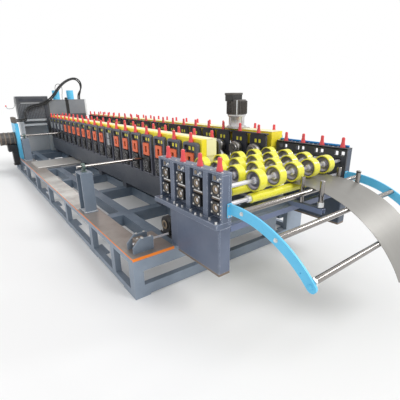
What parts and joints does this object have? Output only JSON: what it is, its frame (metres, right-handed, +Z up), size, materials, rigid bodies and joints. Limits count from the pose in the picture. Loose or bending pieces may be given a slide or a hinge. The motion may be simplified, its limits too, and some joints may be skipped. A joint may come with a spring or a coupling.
{
  "type": "roll forming machine",
  "caption": "Roll forming machine for wide steel profiles: long open base, two rows of roll stands, ring roll entry unit and curved feed table.",
  "frame": {"origin": "on the floor under the middle of the whole machine's bounding box", "axes": "+Z up, +Y along the line away from the feed table, +X to the right seen from the feed table"},
  "size_m": [2.665, 8.64, 2.24],
  "materials": {
    "base_paint": "satin",
    "row_paint": "satin",
    "entry_paint": "satin",
    "light_blue_paint": "satin",
    "light_paint": "satin",
    "grey_paint": "satin",
    "dark_paint": "matte",
    "orange_paint": "satin",
    "yellow_paint": "satin",
    "bare_steel": "worn",
    "machined_steel": "ground",
    "polished_steel": "polished",
    "roll_steel": "machined",
    "strip_steel": "mill finish",
    "dark_iron": "painted black",
    "grey_iron": "painted grey",
    "cast_aluminium": "cast",
    "red_plastic": "gloss",
    "ring_yellow": "gloss",
    "black_hose": "matte"
  },
  "bodies": {
    "machine_frame": {"adjuster_plates": "orange_paint", "bar_clamps": "grey_iron", "base_cross_beams": "base_paint", "base_end_frames": "base_paint", "base_long_beams": "base_paint", "base_side_posts": "base_paint", "base_side_rails": "base_paint", "bed_plate": "machined_steel", "column_head": "bare_steel", "deck_bracket": "light_paint", "deck_plate": "bare_steel", "drive_gearbox": "cast_aluminium", "drive_motor": "dark_iron", "edge_trim": "orange_paint", "entry_bearing_blocks": "grey_iron", "entry_cross_beam": "base_paint", "entry_stands": "entry_paint", "far_bars": "light_paint", "far_frame": "dark_paint", "far_housing": "dark_paint", "foot_pads": "base_paint", "forming_rolls": "roll_steel", "guide_brackets": "entry_paint", "guide_posts": "polished_steel", "hose_lower": "black_hose", "hose_short": "black_hose", "hose_upper": "black_hose", "inner_roll_stands": "row_paint", "outer_roll_stands": "row_paint", "row_beams": "row_paint", "row_bearing_blocks": "dark_iron", "row_covers": "yellow_paint", "row_slides": "row_paint", "screw_covers": "red_plastic", "shaft_bearing": "dark_iron", "shear_covers": "grey_paint", "shear_cylinders": "light_blue_paint", "shear_frame": "light_paint", "side_column": "light_blue_paint", "side_motor": "dark_iron", "side_pipe": "light_blue_paint", "strip_lead": "strip_steel", "strip_run": "strip_steel", "table_arms": "light_blue_paint", "table_bars": "polished_steel", "tie_bar": "dark_iron", "way_bars": "polished_steel", "way_posts": "light_paint", "width_screw": "polished_steel"},
    "upper_ring_roll_1_body": {"upper_ring_roll_1": "ring_yellow"},
    "lower_roll_1_body": {"lower_roll_1": "ring_yellow"},
    "upper_ring_roll_2_body": {"upper_ring_roll_2": "ring_yellow"},
    "lower_roll_2_body": {"lower_roll_2": "ring_yellow"},
    "upper_ring_roll_3_body": {"upper_ring_roll_3": "ring_yellow"},
    "lower_roll_3_body": {"lower_roll_3": "ring_yellow"},
    "upper_ring_roll_4_body": {"upper_ring_roll_4": "ring_yellow"},
    "lower_roll_4_body": {"lower_roll_4": "ring_yellow"}
  },
  "joints": [
    {"name": "upper_ring_roll_1_turn", "type": "hinge", "parent": "machine_frame", "child": "upper_ring_roll_1_body", "pos_m": [0.2755, -3.34998, 1.0695], "axis": [1, 0, 0], "continuous": true},
    {"name": "lower_roll_1_turn", "type": "hinge", "parent": "machine_frame", "child": "lower_roll_1_body", "pos_m": [0.2755, -3.34998, 0.9295], "axis": [1, 0, 0], "continuous": true},
    {"name": "upper_ring_roll_2_turn", "type": "hinge", "parent": "machine_frame", "child": "upper_ring_roll_2_body", "pos_m": [0.2755, -3.11798, 1.0695], "axis": [1, 0, 0], "continuous": true},
    {"name": "lower_roll_2_turn", "type": "hinge", "parent": "machine_frame", "child": "lower_roll_2_body", "pos_m": [0.2755, -3.11798, 0.9295], "axis": [1, 0, 0], "continuous": true},
    {"name": "upper_ring_roll_3_turn", "type": "hinge", "parent": "machine_frame", "child": "upper_ring_roll_3_body", "pos_m": [0.2755, -2.88598, 1.0695], "axis": [1, 0, 0], "continuous": true},
    {"name": "lower_roll_3_turn", "type": "hinge", "parent": "machine_frame", "child": "lower_roll_3_body", "pos_m": [0.2755, -2.88598, 0.9295], "axis": [1, 0, 0], "continuous": true},
    {"name": "upper_ring_roll_4_turn", "type": "hinge", "parent": "machine_frame", "child": "upper_ring_roll_4_body", "pos_m": [0.2755, -2.65398, 1.0695], "axis": [1, 0, 0], "continuous": true},
    {"name": "lower_roll_4_turn", "type": "hinge", "parent": "machine_frame", "child": "lower_roll_4_body", "pos_m": [0.2755, -2.65398, 0.9295], "axis": [1, 0, 0], "continuous": true}
  ]
}
